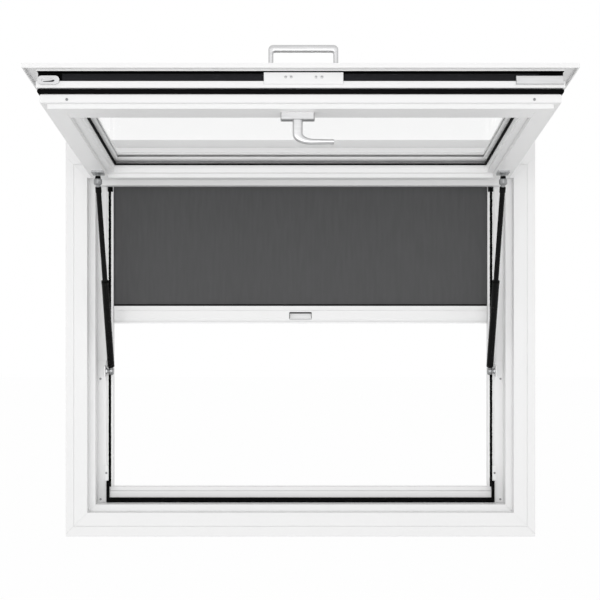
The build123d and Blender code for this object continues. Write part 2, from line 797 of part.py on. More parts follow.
for side, sign in (("left", -1), ("right", 1)):
    low = Vector(sign * strut_x, strut_low_y, bottom_z + strut_low_z)
    top = sash_point(sign * strut_x, strut_top_along, strut_top_down)
    strut_way = (top - low).normalized()
    strut_length = (top - low).length
    side_way = right_way * sign
    tube_start = low + strut_way * lower_shank

    with BuildPart() as lower_bracket:
        with Locations((sign * (ear_x + ear_thick / 2), (ear_low_y + frame_depth) / 2, low.Z)):
            Box(ear_thick, frame_depth - ear_low_y, lower_ear_width)
        with Locations((sign * (ear_x + half_width - reveal_in) / 2, frame_depth - ear_thick / 2, low.Z)):
            Box(half_width - reveal_in - ear_x, ear_thick, lower_foot_height)
    save(f"{side}_lower_bracket", lower_bracket.part)

    with BuildPart() as upper_bracket:
        with BuildSketch(sash_plane(sash_depth)):
            with Locations((sign * strut_x, strut_top_along - sash_middle)):
                Rectangle(upper_plate_width, upper_plate_length)
        extrude(amount=upper_plate_thick)
    save(f"{side}_upper_bracket", upper_bracket.part)

    lower_end = end_fitting(low, side_way, ear_x - strut_x, lower_socket_width, strut_way, lower_shank)
    upper_end = end_fitting(top, -depth_way, plate_reach, upper_socket_width, -strut_way, upper_shank)
    save(f"{side}_strut_ends", Compound(children=[lower_end, upper_end]))

    with BuildPart() as strut_tube:
        with BuildSketch(Plane(origin=tube_start, x_dir=side_way, z_dir=strut_way)):
            Circle(tube_radius)
        extrude(amount=tube_length)
        chamfer(strut_tube.edges().filter_by(GeomType.CIRCLE), length=tube_end_taper)
    save(f"{side}_strut_tube", strut_tube.part)

    rod_start = tube_start + strut_way * tube_length
    with BuildPart() as strut_rod:
        with BuildSketch(Plane(origin=rod_start, x_dir=side_way, z_dir=strut_way)):
            Circle(rod_radius)
        extrude(amount=strut_length - lower_shank - tube_length - upper_shank)
    save(f"{side}_strut_rod", strut_rod.part)
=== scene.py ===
import json
import math

import bpy
from bpy.props import FloatProperty, FloatVectorProperty, IntProperty, PointerProperty
from mathutils import Matrix, Vector


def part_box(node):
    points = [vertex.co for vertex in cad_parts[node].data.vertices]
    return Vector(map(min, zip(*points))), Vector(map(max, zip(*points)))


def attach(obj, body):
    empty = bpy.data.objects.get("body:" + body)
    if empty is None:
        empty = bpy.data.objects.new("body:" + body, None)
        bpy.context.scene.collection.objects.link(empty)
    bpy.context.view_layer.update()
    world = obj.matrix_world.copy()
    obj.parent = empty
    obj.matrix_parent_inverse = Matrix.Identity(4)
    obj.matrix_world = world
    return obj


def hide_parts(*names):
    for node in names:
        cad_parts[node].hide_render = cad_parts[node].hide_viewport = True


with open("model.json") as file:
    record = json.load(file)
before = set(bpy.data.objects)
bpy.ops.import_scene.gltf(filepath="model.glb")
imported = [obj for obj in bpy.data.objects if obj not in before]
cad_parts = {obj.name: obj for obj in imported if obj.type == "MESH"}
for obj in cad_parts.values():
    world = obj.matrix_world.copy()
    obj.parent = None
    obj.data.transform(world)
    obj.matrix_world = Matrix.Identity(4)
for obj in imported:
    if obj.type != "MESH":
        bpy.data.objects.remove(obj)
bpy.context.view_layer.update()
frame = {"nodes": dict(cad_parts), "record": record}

bl_info = {
    "name": "Serving Window",
    "version": (1, 1, 0),
    "blender": (4, 5, 0),
    "location": "3D View > Sidebar > Window",
    "description": "Finishes a top-hung aluminium serving window: coat, glass, screen, struts and lock",
    "category": "Object",
}

BODY = "window"
LEVER_BODY = "lever"
NODES = frame["nodes"]
SIDES = (("left", -1.0), ("right", 1.0))

# Slack for finding faces and edges by their place
NEAR = 0.0001

# Largest rounding of a lofted section, as a share of its thickness
MOST_ROUND = 0.45

# The sash's own directions: across, down its length from the hinge, and through it to the inner face
OPEN_ANGLE = math.radians(96.3)
RIGHT = Vector((1.0, 0.0, 0.0))
UP = Vector((0.0, 0.0, 1.0))
ALONG = Vector((0.0, -math.sin(OPEN_ANGLE), -math.cos(OPEN_ANGLE)))
DOWN = Vector((0.0, math.cos(OPEN_ANGLE), -math.sin(OPEN_ANGLE)))
HINGE_AXIS = Vector((0.0, -0.0087, 0.78375))
AXIS_DOWN = 0.0059
SASH_START = 0.034
SASH_END = 0.767
SASH_LENGTH = SASH_END - SASH_START
SASH_MIDDLE = (SASH_START + SASH_END) / 2
SASH_HALF_WIDTH = 0.464
SASH_DEPTH = 0.069
EDGE_FACE = SASH_END - 0.021
LEVER_X = -0.005
LEVER_ALONG = SASH_END - 0.0725
STRUT_X = 0.410
STRUT_LOW = Vector((0.0, 0.060, 0.32575))
STRUT_TOP_ALONG = 0.162
STRUT_TOP_DOWN = 0.089


def placing(x_way, y_way, origin):
    """A placing matrix from two directions and an origin."""
    rows = Matrix((x_way, y_way, x_way.cross(y_way))).transposed().to_4x4()
    rows.translation = origin
    return rows


SASH_PLACE = placing(RIGHT, ALONG, HINGE_AXIS - DOWN * AXIS_DOWN)


def sash_point(across, along, down):
    """A point of the sash in the window's frame."""
    return SASH_PLACE @ Vector((across, along, down))


def on_front(x, y, z):
    """Placing for a piece on a face that looks out of the building."""
    return placing(RIGHT, UP, Vector((x, y, z)))


def on_edge(across, along, down):
    """Placing for a piece on the sash's free edge."""
    return placing(RIGHT, -DOWN, sash_point(across, along, down))


def on_inner_face(across, along, down):
    """Placing for a piece on the sash's inner face."""
    return placing(RIGHT, ALONG, sash_point(across, along, down))


# Modelling steps


def deselect():
    """Leave nothing selected."""
    bpy.ops.object.select_all(action="DESELECT")


def pick(*pieces):
    """Select some pieces and nothing else, with the first one active."""
    deselect()
    for piece in pieces:
        piece.select_set(True)
    bpy.context.view_layer.objects.active = pieces[0]


def edit(piece):
    """Open one piece in edit mode."""
    pick(piece)
    bpy.ops.object.mode_set(mode="EDIT")
    bpy.ops.mesh.select_mode(type="FACE")


def close_edit():
    """Go back to object mode."""
    bpy.ops.object.mode_set(mode="OBJECT")


def pick_all():
    """In edit mode, select the whole mesh."""
    bpy.ops.mesh.select_all(action="SELECT")


def pick_faces(piece, test):
    """In edit mode, select the faces whose middle and normal pass a test."""
    bpy.ops.mesh.select_mode(type="FACE")
    bpy.ops.mesh.select_all(action="DESELECT")
    close_edit()
    for face in piece.data.polygons:
        face.select = test(face.center, face.normal)
    bpy.ops.object.mode_set(mode="EDIT")


def pick_edges(piece, test):
    """In edit mode, select the edges whose two ends pass a test."""
    bpy.ops.mesh.select_mode(type="EDGE")
    bpy.ops.mesh.select_all(action="DESELECT")
    close_edit()
    points = piece.data.vertices
    for edge in piece.data.edges:
        edge.select = test(points[edge.vertices[0]].co, points[edge.vertices[1]].co)
    bpy.ops.object.mode_set(mode="EDIT")


def extrude(height):
    """In edit mode, extrude what is selected along Z."""
    bpy.ops.mesh.extrude_region_move(TRANSFORM_OT_translate={"value": (0.0, 0.0, height)})


def bevel_edges(offset, segments):
    """In edit mode, round the selected edges."""
    bpy.ops.mesh.bevel(offset=offset, segments=segments, affect="EDGES")


def face_outwards():
    """In edit mode, turn every face outwards."""
    pick_all()
    bpy.ops.mesh.normals_make_consistent(inside=False)


def apply_modifiers(piece):
    """Apply every modifier of a piece, first to last."""
    pick(piece)
    for modifier in list(piece.modifiers):
        bpy.ops.object.modifier_apply(modifier=modifier.name)


def thicken(piece, thickness, offset):
    """Give a sheet of faces its thickness."""
    body = piece.modifiers.new("body", "SOLIDIFY")
    body.thickness = thickness
    body.offset = offset


def join(*pieces):
    """Join pieces into the first of them."""
    pick(*pieces)
    bpy.ops.object.join()


def remove(*pieces):
    """Delete the pieces that the finished ones were copied from."""
    pick(*pieces)
    bpy.ops.object.delete()


def settle(piece, place):
    """Put a piece in its place and keep the place in its mesh."""
    pick(piece)
    piece.matrix_world = place @ piece.matrix_world
    bpy.ops.object.transform_apply(location=True, rotation=True, scale=True)


def hand_over(piece, name, slot, body=BODY, sharp=35.0):
    """Name a finished piece, smooth it, and give it its material and its body."""
    pick(piece)
    bpy.ops.object.shade_smooth_by_angle(angle=math.radians(sharp))
    piece.name = name
    piece.data.name = name
    piece.data.materials.clear()
    piece.data.materials.append(finish_material(slot))
    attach(piece, body)


def copy_of(piece):
    """A copy of a piece with its own mesh."""
    twin = piece.copy()
    twin.data = piece.data.copy()
    bpy.context.collection.objects.link(twin)
    return twin


def rounded_block(size, edge):
    """A block centred on the origin with all its edges rounded."""
    deselect()
    bpy.ops.mesh.primitive_cube_add(size=1.0)
    block = bpy.context.object
    edit(block)
    pick_all()
    bpy.ops.transform.resize(value=size)
    bpy.ops.mesh.select_mode(type="EDGE")
    pick_all()
    bevel_edges(edge, segments=3)
    close_edit()
    return block


def open_plate(width, length):
    """A flat rectangle in the X-Y plane, open in edit mode with all of it selected."""
    deselect()
    bpy.ops.mesh.primitive_plane_add(size=1.0)
    plate = bpy.context.object
    edit(plate)
    pick_all()
    bpy.ops.transform.resize(value=(width, length, 1.0))
    return plate


def open_grid(columns, rows, width, length):
    """A flat grid in the X-Y plane, open in edit mode with all of it selected."""
    deselect()
    bpy.ops.mesh.primitive_grid_add(x_subdivisions=columns, y_subdivisions=rows, size=1.0)
    grid = bpy.context.object
    edit(grid)
    pick_all()
    bpy.ops.transform.resize(value=(width, length, 1.0))
    return grid


def quarter_bend(steps, inner, outer):
    """Pairs of points round a quarter bend, each side given as its start, reach and rise."""
    pairs = []
    for step in range(steps + 1):
        turn = math.radians(90.0 * step / steps)
        pair = []
        for start, reach, rise in (inner, outer):
            pair.append((start[0] + reach * (1.0 - math.cos(turn)), start[1] + rise * math.sin(turn)))
        pairs.append(tuple(pair))
    return pairs


def bow_loft(pairs, width, corner):
    """A bar through rounded sections, each from an inner to an outer point of the X-Z plane."""
    loops = []
    for inner, outer in pairs:
        inner = Vector((inner[0], 0.0, inner[1]))
        outer = Vector((outer[0], 0.0, outer[1]))
        thick = (outer - inner).length
        loop = open_plate(thick, width)
        rounding = min(corner, MOST_ROUND * thick)
        bpy.ops.mesh.bevel(offset=rounding, segments=4, affect="VERTICES")
        pick_all()
        bpy.ops.mesh.delete(type="ONLY_FACE")
        close_edit()
        through = (outer - inner).normalized()
        loop.matrix_world = placing(through, Vector((0.0, 1.0, 0.0)), (inner + outer) / 2)
        loops.append(loop)
    join(*loops)
    bar = loops[0]
    bpy.ops.object.transform_apply(location=True, rotation=True, scale=True)
    bpy.ops.object.mode_set(mode="EDIT")
    bpy.ops.mesh.select_mode(type="EDGE")
    pick_all()
    bpy.ops.mesh.bridge_edge_loops(type="SINGLE")
    pick_all()
    bpy.ops.mesh.fill_holes(sides=0)
    face_outwards()
    close_edit()
    return bar


def flat_ring(outer_width, outer_length, band, thick):
    """A flat rectangular ring in the X-Y plane that stands up by its thickness."""
    ring = open_plate(outer_width, outer_length)
    bpy.ops.mesh.inset(thickness=band, depth=0.0)
    bpy.ops.mesh.delete(type="FACE")
    pick_all()
    extrude(thick)
    face_outwards()
    close_edit()
    return ring


def lipped_ring(outer_width, outer_length, band, thick, edge, segments):
    """A flat ring with the top edge of its opening rounded or chamfered."""
    ring = flat_ring(outer_width, outer_length, band, thick)

    def on_lip(a, b):
        level = min(a.z, b.z) > thick - NEAR
        reach = [min(outer_width / 2 - abs(end.x), outer_length / 2 - abs(end.y)) for end in (a, b)]
        return level and min(reach) > band - NEAR

    edit(ring)
    pick_edges(ring, on_lip)
    bevel_edges(edge, segments)
    close_edit()
    return ring


# Materials


def node_tree(name):
    """A new material with its node tree and its Principled shader."""
    material = bpy.data.materials.new(name)
    material.use_nodes = True
    tree = material.node_tree
    return material, tree, tree.nodes["Principled BSDF"]


def add_node(tree, kind, inputs=None, **settings):
    """A node of a kind with its settings and its unlinked input values."""
    node = tree.nodes.new(kind)
    for key, value in settings.items():
        setattr(node, key, value)
    for key, value in (inputs or {}).items():
        node.inputs[key].default_value = value
    return node


def link(tree, source, output, target, socket):
    """Join one node's output to another node's input."""
    tree.links.new(source.outputs[output], target.inputs[socket])


def object_mapping(tree, scale):
    """Object coordinates stretched by a scale on each axis."""
    coordinates = add_node(tree, "ShaderNodeTexCoord")
    mapping = add_node(tree, "ShaderNodeMapping", {"Scale": scale})
    link(tree, coordinates, "Object", mapping, "Vector")
    return mapping


def noise(tree, scale, detail=3.0, stretch=(1.0, 1.0, 1.0)):
    """A noise texture on object coordinates."""
    texture = add_node(tree, "ShaderNodeTexNoise", {"Scale": scale, "Detail": detail})
    link(tree, object_mapping(tree, stretch), "Vector", texture, "Vector")
    return texture


def shade_ramp(tree, texture, shader, dark, light):
    """Colour that drifts between two close shades with a texture."""
    ramp = add_node(tree, "ShaderNodeValToRGB")
    for element, position, shade in zip(ramp.color_ramp.elements, (0.3, 0.7), (dark, light)):
        element.position = position
        element.color = (*shade, 1.0)
    link(tree, texture, "Fac", ramp, "Fac")
    link(tree, ramp, "Color", shader, "Base Color")


def rough_ramp(tree, texture, shader, low, high):
    """Roughness that drifts between two values with a texture."""
    spread = add_node(tree, "ShaderNodeMapRange", {"To Min": low, "To Max": high})
    link(tree, texture, "Fac", spread, "Value")
    link(tree, spread, "Result", shader, "Roughness")


def bump_from(tree, texture, shader, strength, distance):
    """Fine relief from a texture."""
    bump = add_node(tree, "ShaderNodeBump", {"Strength": strength, "Distance": distance})
    link(tree, texture, "Fac", bump, "Height")
    link(tree, bump, "Normal", shader, "Normal")


def tint(colour, factor):
    """A colour made a little darker or lighter."""
    return tuple(min(1.0, channel * factor) for channel in colour)


def white_coat(finish):
    """Satin white powder coat with a faint orange peel."""
    material, tree, shader = node_tree("white_coat")
    shader.inputs["Specular IOR Level"].default_value = 0.4
    drift = noise(tree, scale=9.0)
    shade_ramp(tree, drift, shader, tint(finish.coat, 0.985), finish.coat)
    rough_ramp(tree, drift, shader, low=0.32, high=0.42)
    bump_from(tree, noise(tree, scale=700.0, detail=2.0), shader, strength=0.06, distance=0.0004)
    return material


def white_tape(finish):
    """White foam tape and sealant round the glass."""
    material, tree, shader = node_tree("white_tape")
    shader.inputs["Roughness"].default_value = 0.8
    grain = noise(tree, scale=500.0)
    shade_ramp(tree, grain, shader, tint(finish.coat, 0.93), finish.coat)
    bump_from(tree, grain, shader, strength=0.2, distance=0.0003)
    return material


def seal_rubber(finish):
    """Black seal rubber with a dull skin."""
    material, tree, shader = node_tree("seal_rubber")
    shader.inputs["Specular IOR Level"].default_value = 0.03
    drift = noise(tree, scale=60.0)
    shade_ramp(tree, drift, shader, tint(finish.rubber, 0.7), finish.rubber)
    rough_ramp(tree, drift, shader, low=0.5, high=0.65)
    bump_from(tree, noise(tree, scale=900.0), shader, strength=0.15, distance=0.0004)
    return material


def brush_pile(finish):
    """Black brush fibres, streaked across the strip."""
    material, tree, shader = node_tree("brush_pile")
    shader.inputs["Roughness"].default_value = 0.9
    shader.inputs["Specular IOR Level"].default_value = 0.02
    fibres = noise(tree, scale=900.0, detail=2.0, stretch=(0.15, 0.15, 1.0))
    shade_ramp(tree, fibres, shader, tint(finish.rubber, 0.5), tint(finish.rubber, 1.3))
    bump_from(tree, fibres, shader, strength=0.5, distance=0.0005)
    return material


def clear_glass(finish):
    """Clear float glass."""
    material, tree, shader = node_tree("clear_glass")
    shader.inputs["IOR"].default_value = 1.3
    shader.inputs["Transmission Weight"].default_value = 1.0
    shader.inputs["Alpha"].default_value = 0.035
    drift = noise(tree, scale=4.0)
    shade_ramp(tree, drift, shader, finish.glass_deep, finish.glass)
    rough_ramp(tree, drift, shader, low=0.0, high=0.02)
    return material


def strut_black(finish):
    """Black lacquer on the gas struts."""
    material, tree, shader = node_tree("strut_black")
    shader.inputs["Specular IOR Level"].default_value = 0.1
    drift = noise(tree, scale=40.0)
    shade_ramp(tree, drift, shader, tint(finish.strut, 0.8), finish.strut)
    rough_ramp(tree, drift, shader, low=0.22, high=0.34)
    bump_from(tree, noise(tree, scale=600.0), shader, strength=0.08, distance=0.0003)
    return material


def brushed_metal(name, colour, roughness):
    """Metal with fine drawn lines."""
    material, tree, shader = node_tree(name)
    shader.inputs["Metallic"].default_value = 1.0
    lines = noise(tree, scale=400.0, detail=2.0, stretch=(0.08, 1.0, 1.0))
    shade_ramp(tree, lines, shader, tint(colour, 0.9), colour)
    rough_ramp(tree, lines, shader, low=roughness - 0.05, high=roughness + 0.08)
    bump_from(tree, lines, shader, strength=0.1, distance=0.0002)
    return material


def zinc_steel(finish):
    """Zinc plate on the brackets, fittings and screws."""
    return brushed_metal("zinc_steel", finish.zinc, roughness=0.33)


def lock_steel(finish):
    """Dark oxide on the lock's moving steel."""
    return brushed_metal("lock_steel", finish.dark, roughness=0.45)


def satin_metal(finish):
    """Satin metal of the handles and tongues."""
    return brushed_metal("satin_metal", finish.satin, roughness=0.36)


def screen_weave(finish):
    """Dark coated screen cloth, with faint slubs down the cloth and a fine cross weave."""
    material, tree, shader = node_tree("screen_weave")
    shader.inputs["Specular IOR Level"].default_value = 0.2
    slubs = noise(tree, scale=150.0, detail=5.0, stretch=(1.0, 1.0, 0.12))
    shade_ramp(tree, slubs, shader, tint(finish.screen, 0.94), tint(finish.screen, 1.05))
    rough_ramp(tree, slubs, shader, low=0.65, high=0.8)
    bump_from(tree, noise(tree, scale=1500.0, detail=1.0), shader, strength=0.35, distance=0.0003)
    return material


MAKERS = {
    "white_coat": white_coat,
    "white_tape": white_tape,
    "seal_rubber": seal_rubber,
    # The groove_black slot colours the lock groove's black liner, a dark sheet that is painted shade for the
    # shadow inside the groove; it also gives the guide plugs their own black
    "groove_black": seal_rubber,
    "brush_pile": brush_pile,
    "clear_glass": clear_glass,
    "strut_black": strut_black,
    "zinc_steel": zinc_steel,
    "lock_steel": lock_steel,
    "spacer_metal": white_tape,
    "satin_metal": satin_metal,
    "screen_mesh": screen_weave,
}
MATERIALS = {}


def finish_material(slot):
    """The material of a slot, made once."""
    if slot not in MATERIALS:
        MATERIALS[slot] = MAKERS[slot](bpy.context.scene.window_finish)
    return MATERIALS[slot]


# Sizes and colours


class WindowFinish(bpy.types.PropertyGroup):
    """Colours of the window's finishes."""

    coat: FloatVectorProperty(
        name="Coat", description="White powder coat", subtype="COLOR",
        default=(0.87, 0.87, 0.87), min=0.0, max=1.0,
    )
    rubber: FloatVectorProperty(
        name="Rubber", description="Seals and gaskets", subtype="COLOR",
        default=(0.003, 0.003, 0.0032), min=0.0, max=1.0,
    )
    glass: FloatVectorProperty(
        name="Glass", description="Both panes, lighter shade", subtype="COLOR",
        default=(0.985, 0.995, 0.99), min=0.0, max=1.0,
    )
    glass_deep: FloatVectorProperty(
        name="Deep glass", description="Both panes, darker shade", subtype="COLOR",
        default=(0.965, 0.985, 0.975), min=0.0, max=1.0,
    )
    strut: FloatVectorProperty(
        name="Struts", description="Gas struts", subtype="COLOR",
        default=(0.0025, 0.0025, 0.0027), min=0.0, max=1.0,
    )
    screen: FloatVectorProperty(
        name="Screen", description="Screen cloth", subtype="COLOR",
        default=(0.088, 0.088, 0.09), min=0.0, max=1.0,
    )
    satin: FloatVectorProperty(
        name="Satin metal", description="Handles and tongues", subtype="COLOR",
        default=(0.61, 0.61, 0.615), min=0.0, max=1.0,
    )
    zinc: FloatVectorProperty(
        name="Zinc", description="Brackets and fittings", subtype="COLOR",
        default=(0.33, 0.335, 0.34), min=0.0, max=1.0,
    )
    dark: FloatVectorProperty(
        name="Dark steel", description="Lock bar", subtype="COLOR",
        default=(0.02, 0.02, 0.022), min=0.0, max=1.0,
    )


class WindowLever(bpy.types.PropertyGroup):
    """Sizes of the lever and the pull handle."""

    lever_neck: FloatProperty(
        name="Neck width", description="Lever's neck", unit="LENGTH", default=0.017
    )
    lever_reach: FloatProperty(
        name="Lever reach", description="From the spindle to the tip", unit="LENGTH", default=0.062
    )
    lever_drop: FloatProperty(
        name="Lever drop", description="From the base to the arm", unit="LENGTH", default=0.041
    )
    lever_arm: FloatProperty(
        name="Arm thickness", description="Lever's arm", unit="LENGTH", default=0.008
    )
    lever_width: FloatProperty(
        name="Lever width", description="Across the arm", unit="LENGTH", default=0.015
    )
    pull_length: FloatProperty(
        name="Pull length", description="Over the pull handle's legs", unit="LENGTH", default=0.117
    )
    pull_height: FloatProperty(
        name="Pull height", description="Off the sash's face", unit="LENGTH", default=0.035
    )
    pull_bar: FloatProperty(
        name="Pull bar", description="Thickness of the bar", unit="LENGTH", default=0.0116
    )
    pull_leg: FloatProperty(
        name="Pull leg", description="Thickness of each leg", unit="LENGTH", default=0.0083
    )
    pull_width: FloatProperty(
        name="Pull width", description="Across the bar", unit="LENGTH", default=0.012
    )


class WindowTrim(bpy.types.PropertyGroup):
    """Sizes of the small trim pieces."""

    screw_radius: FloatProperty(
        name="Screw head", description="Radius of a screw head", unit="LENGTH", default=0.0023
    )
    rim_band: FloatProperty(
        name="Finger rim", description="Width of the finger pull's rim", unit="LENGTH", default=0.0065
    )
    pile_rise: FloatProperty(
        name="Pile rise", description="Unevenness of the brush pile", unit="LENGTH", default=0.0004
    )
    cloth_ripple: FloatProperty(
        name="Cloth ripple", description="Waviness of the screen", unit="LENGTH", default=0.0008
    )
    cloth_columns: IntProperty(
        name="Cloth columns", description="Grid cells across the screen", default=140
    )
    cloth_rows: IntProperty(
        name="Cloth rows", description="Grid cells down the screen", default=50
    )
    edge: FloatProperty(
        name="Edge", description="Rounding of the coated sections' edges", unit="LENGTH", default=0.0006
    )


class WindowStage(bpy.types.PropertyGroup):
    """Camera, floor and light."""

    camera_distance: FloatProperty(
        name="Camera distance", description="From the frame's front face", unit="LENGTH", default=3.484
    )
    camera_height: FloatProperty(
        name="Camera height", description="Above the frame's bottom edge", unit="LENGTH", default=0.504
    )
    lens: FloatProperty(name="Lens", description="Focal length in millimetres", default=98.2)
    floor_drop: FloatProperty(
        name="Floor drop", description="From the frame's bottom edge to the floor", unit="LENGTH",
        default=0.35,
    )
    key_power: FloatProperty(name="Key power", description="Power of the front light in watts", default=130.0)
    key_distance: FloatProperty(
        name="Key distance", description="From the frame's front face to the light", unit="LENGTH",
        default=7.0,
    )
    key_width: FloatProperty(name="Key width", description="Width of the light", unit="LENGTH", default=4.5)
    key_tall: FloatProperty(name="Key height", description="Height of the light", unit="LENGTH", default=1.7)
    ambient: FloatProperty(name="Ambient", description="Strength of the light from all round", default=0.74)


# Pieces


class WINDOW_OT_finishes(bpy.types.Operator):
    """Coat the frame, sash and hardware, and round the coated edges"""

    bl_idname = "window.finishes"
    bl_label = "Finishes"

    def execute(self, context):
        trim = context.scene.window_trim
        for row in frame["record"]["subparts"]:
            node = NODES[row["node"]]
            node.data.materials.clear()
            node.data.materials.append(finish_material(row["material_slot"]))
            if row["material_slot"] == "white_coat":
                weld = node.modifiers.new("weld", "WELD")
                weld.merge_threshold = 0.00001
                bevel = node.modifiers.new("edges", "BEVEL")
                bevel.width = trim.edge
                bevel.segments = 2
                bevel.limit_method = "ANGLE"
                bevel.angle_limit = math.radians(50.0)
                bevel.harden_normals = True
        return {"FINISHED"}


class WINDOW_OT_lever(bpy.types.Operator):
    """Model the curved lever handle on its spindle, and a zinc plate on the base's lower face whose darker
    colour paints the shade under the base
    """

    bl_idname = "window.lever"
    bl_label = "Lever handle"

    def execute(self, context):
        lever = context.scene.window_lever
        half = lever.lever_neck / 2
        arm_top = lever.lever_drop - lever.lever_arm
        arm_middle = lever.lever_drop - lever.lever_arm / 2
        bend_start = 0.023
        inner_reach = 0.0215
        outer_reach = 0.030
        corner = 0.0035
        pairs = [((half, depth), (-half, depth)) for depth in (0.0, 0.0012, 0.008, 0.016)]
        pairs += quarter_bend(
            10,
            ((half, bend_start), inner_reach, arm_top - bend_start),
            ((-half, bend_start), outer_reach, lever.lever_drop - bend_start),
        )
        # Places along an arm of this reach, each with its share of the arm's thickness
        taper_reach = 0.062
        taper = (
            (0.042, 0.98),
            (0.050, 0.9),
            (0.0545, 0.86),
            (0.0575, 1.0),
            (0.060, 0.98),
            (0.0614, 0.75),
            (0.062, 0.4),
        )
        for place, thick in taper:
            x = place / taper_reach * lever.lever_reach
            rise = thick * lever.lever_arm / 2
            pairs.append(((x, arm_middle - rise), (x, arm_middle + rise)))
        grip = bow_loft(pairs, lever.lever_width, corner)

        # The stub that turns in the base
        stub_inset = 0.0042
        stub_length = 0.0078
        base_top = SASH_DEPTH + 0.0123
        edit(grip)
        pick_faces(grip, lambda middle, normal: normal.z < -0.9 and middle.z < NEAR)
        bpy.ops.mesh.inset(thickness=stub_inset, depth=0.0)
        extrude(-stub_length)
        close_edit()
        settle(grip, on_inner_face(LEVER_X, LEVER_ALONG, base_top))
        hand_over(grip, "lever_grip", "satin_metal", LEVER_BODY)
        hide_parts("lever_handle")

        # A zinc plate over the base's lower face: its darker colour is painted shade, standing in for the
        # shadow under the base
        plate = rounded_block(size=(0.0572, 0.0182, 0.0016), edge=0.0003)
        settle(plate, on_inner_face(LEVER_X, LEVER_ALONG, down=SASH_DEPTH + 0.0114))
        hand_over(plate, "lever_base_shade_plate", "zinc_steel")
        return {"FINISHED"}


class WINDOW_OT_pull(bpy.types.Operator):
    """Model the pull handle on the sash's outer face"""

    bl_idname = "window.pull"
    bl_label = "Pull handle"

    def execute(self, context):
        lever = context.scene.window_lever
        outer_x = lever.pull_length / 2
        inner_x = outer_x - lever.pull_leg
        inner_top = lever.pull_height - lever.pull_bar
        outer_corner = 0.008
        inner_corner = 0.003
        from_end = 0.020
        left = [((-inner_x, height), (-outer_x, height)) for height in (0.0, 0.006, 0.013)]
        left += quarter_bend(
            8,
            ((-inner_x, inner_top - inner_corner), inner_corner, inner_corner),
            ((-outer_x, lever.pull_height - outer_corner), outer_corner, outer_corner),
        )
        left += [((x, inner_top), (x, lever.pull_height)) for x in (-0.036, -0.018)]
        right = [((-inner[0], inner[1]), (-outer[0], outer[1])) for inner, outer in reversed(left)]
        handle = bow_loft(left + right, lever.pull_width, corner=0.003)
        settle(handle, placing(RIGHT, -ALONG, sash_point(across=0.0046, along=SASH_END - from_end, down=0.0)))
        hand_over(handle, "pull_bow", "satin_metal")
        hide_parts("pull_handle")
        return {"FINISHED"}


class WINDOW_OT_screen(bpy.types.Operator):
    """Model the screen cloth, a black strip along the bar's top, and the cup of its finger pull with black
    strips of painted shade at the top and sides of the cup's mouth
    """

    bl_idname = "window.screen"
    bl_label = "Roller screen"

    def execute(self, context):
        trim = context.scene.window_trim
        low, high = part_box("screen_fabric")
        width = high.x - low.x
        drop = high.z - low.z
        middle = (low + high) / 2
        cloth = open_grid(trim.cloth_columns, trim.cloth_rows, width, drop)
        close_edit()
        settle(cloth, on_front(*middle))
        ripple = bpy.data.textures.new("cloth_ripple", "CLOUDS")
        ripple.noise_scale = 0.09
        wave = cloth.modifiers.new("ripple", "DISPLACE")
        wave.texture = ripple
        wave.texture_coords = "LOCAL"
        wave.strength = trim.cloth_ripple
        wave.mid_level = 0.5
        thicken(cloth, thickness=0.0006, offset=0.0)
        apply_modifiers(cloth)
        hand_over(cloth, "screen_cloth", "screen_mesh")
        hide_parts("screen_fabric")

        bar_low, bar_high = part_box("screen_bar")
        # A black strip along the top of the bar, where the cloth meets it
        bar_strip_rise = 0.0014
        bar_strip = rounded_block(size=(0.810, 0.0022, 0.0046), edge=0.0007)
        settle(bar_strip, Matrix.Translation((0.0, middle.y, bar_high.z + bar_strip_rise)))
        hand_over(bar_strip, "screen_bar_dark_strip", "seal_rubber")

        # The cup: a rim, a rounded mouth, and a floor that is smaller and lower than the mouth
        pocket_width = 0.0506
        cup_height = 0.0226
        rim_inset = 0.0024
        mouth_width = 0.0502
        cup_depth = 0.0075
        floor_share = (0.93, 0.76, 1.0)
        floor_shift = (0.0, -0.0012, 0.0)
        rim_width = pocket_width + 2 * trim.rim_band
        mouth_share = mouth_width / (rim_width - 2 * rim_inset)
        cup = open_plate(rim_width, cup_height)
        bpy.ops.mesh.bevel(offset=0.004, segments=5, affect="VERTICES")
        pick_faces(cup, lambda middle, normal: True)
        bpy.ops.mesh.inset(thickness=rim_inset, depth=0.0)
        bpy.ops.transform.resize(value=(mouth_share, 1.0, 1.0))
        bpy.ops.mesh.inset(thickness=0.0005, depth=-0.0008)
        extrude(-cup_depth)
        bpy.ops.transform.resize(value=floor_share)
        bpy.ops.transform.translate(value=floor_shift)
        pick_edges(cup, lambda a, b: max(a.z, b.z) < -cup_depth - 0.0005)
        bevel_edges(offset=0.0008, segments=2)
        close_edit()
        thicken(cup, thickness=0.0004, offset=1.0)
        apply_modifiers(cup)
        face_y = bar_low.y + 0.002
        cup_proud = 0.0001
        pull_z = 0.44525
        settle(cup, on_front(0.0, face_y - cup_proud, pull_z))
        hand_over(cup, "finger_cup", "white_coat")

        # A black strip along the top of the cup's mouth with an end down each side: painted shade, standing
        # in for the shadow inside the top and sides of the pocket
        shade_strip_depth = -0.0022
        bar_rise = 0.0065
        end_rise = 0.001
        end_x = 0.0236
        grip = rounded_block(size=(0.0462, 0.0030, 0.003), edge=0.0004)
        settle(grip, Matrix.Translation((0.0, bar_rise, shade_strip_depth)))
        ends = []
        for _, sign in SIDES:
            end = rounded_block(size=(0.001, 0.0125, 0.003), edge=0.0003)
            settle(end, Matrix.Translation((sign * end_x, end_rise, shade_strip_depth)))
            ends.append(end)
        join(grip, *ends)
        settle(grip, on_front(0.0, face_y, pull_z))
        hand_over(grip, "finger_pocket_shade_strip", "seal_rubber")
        return {"FINISHED"}


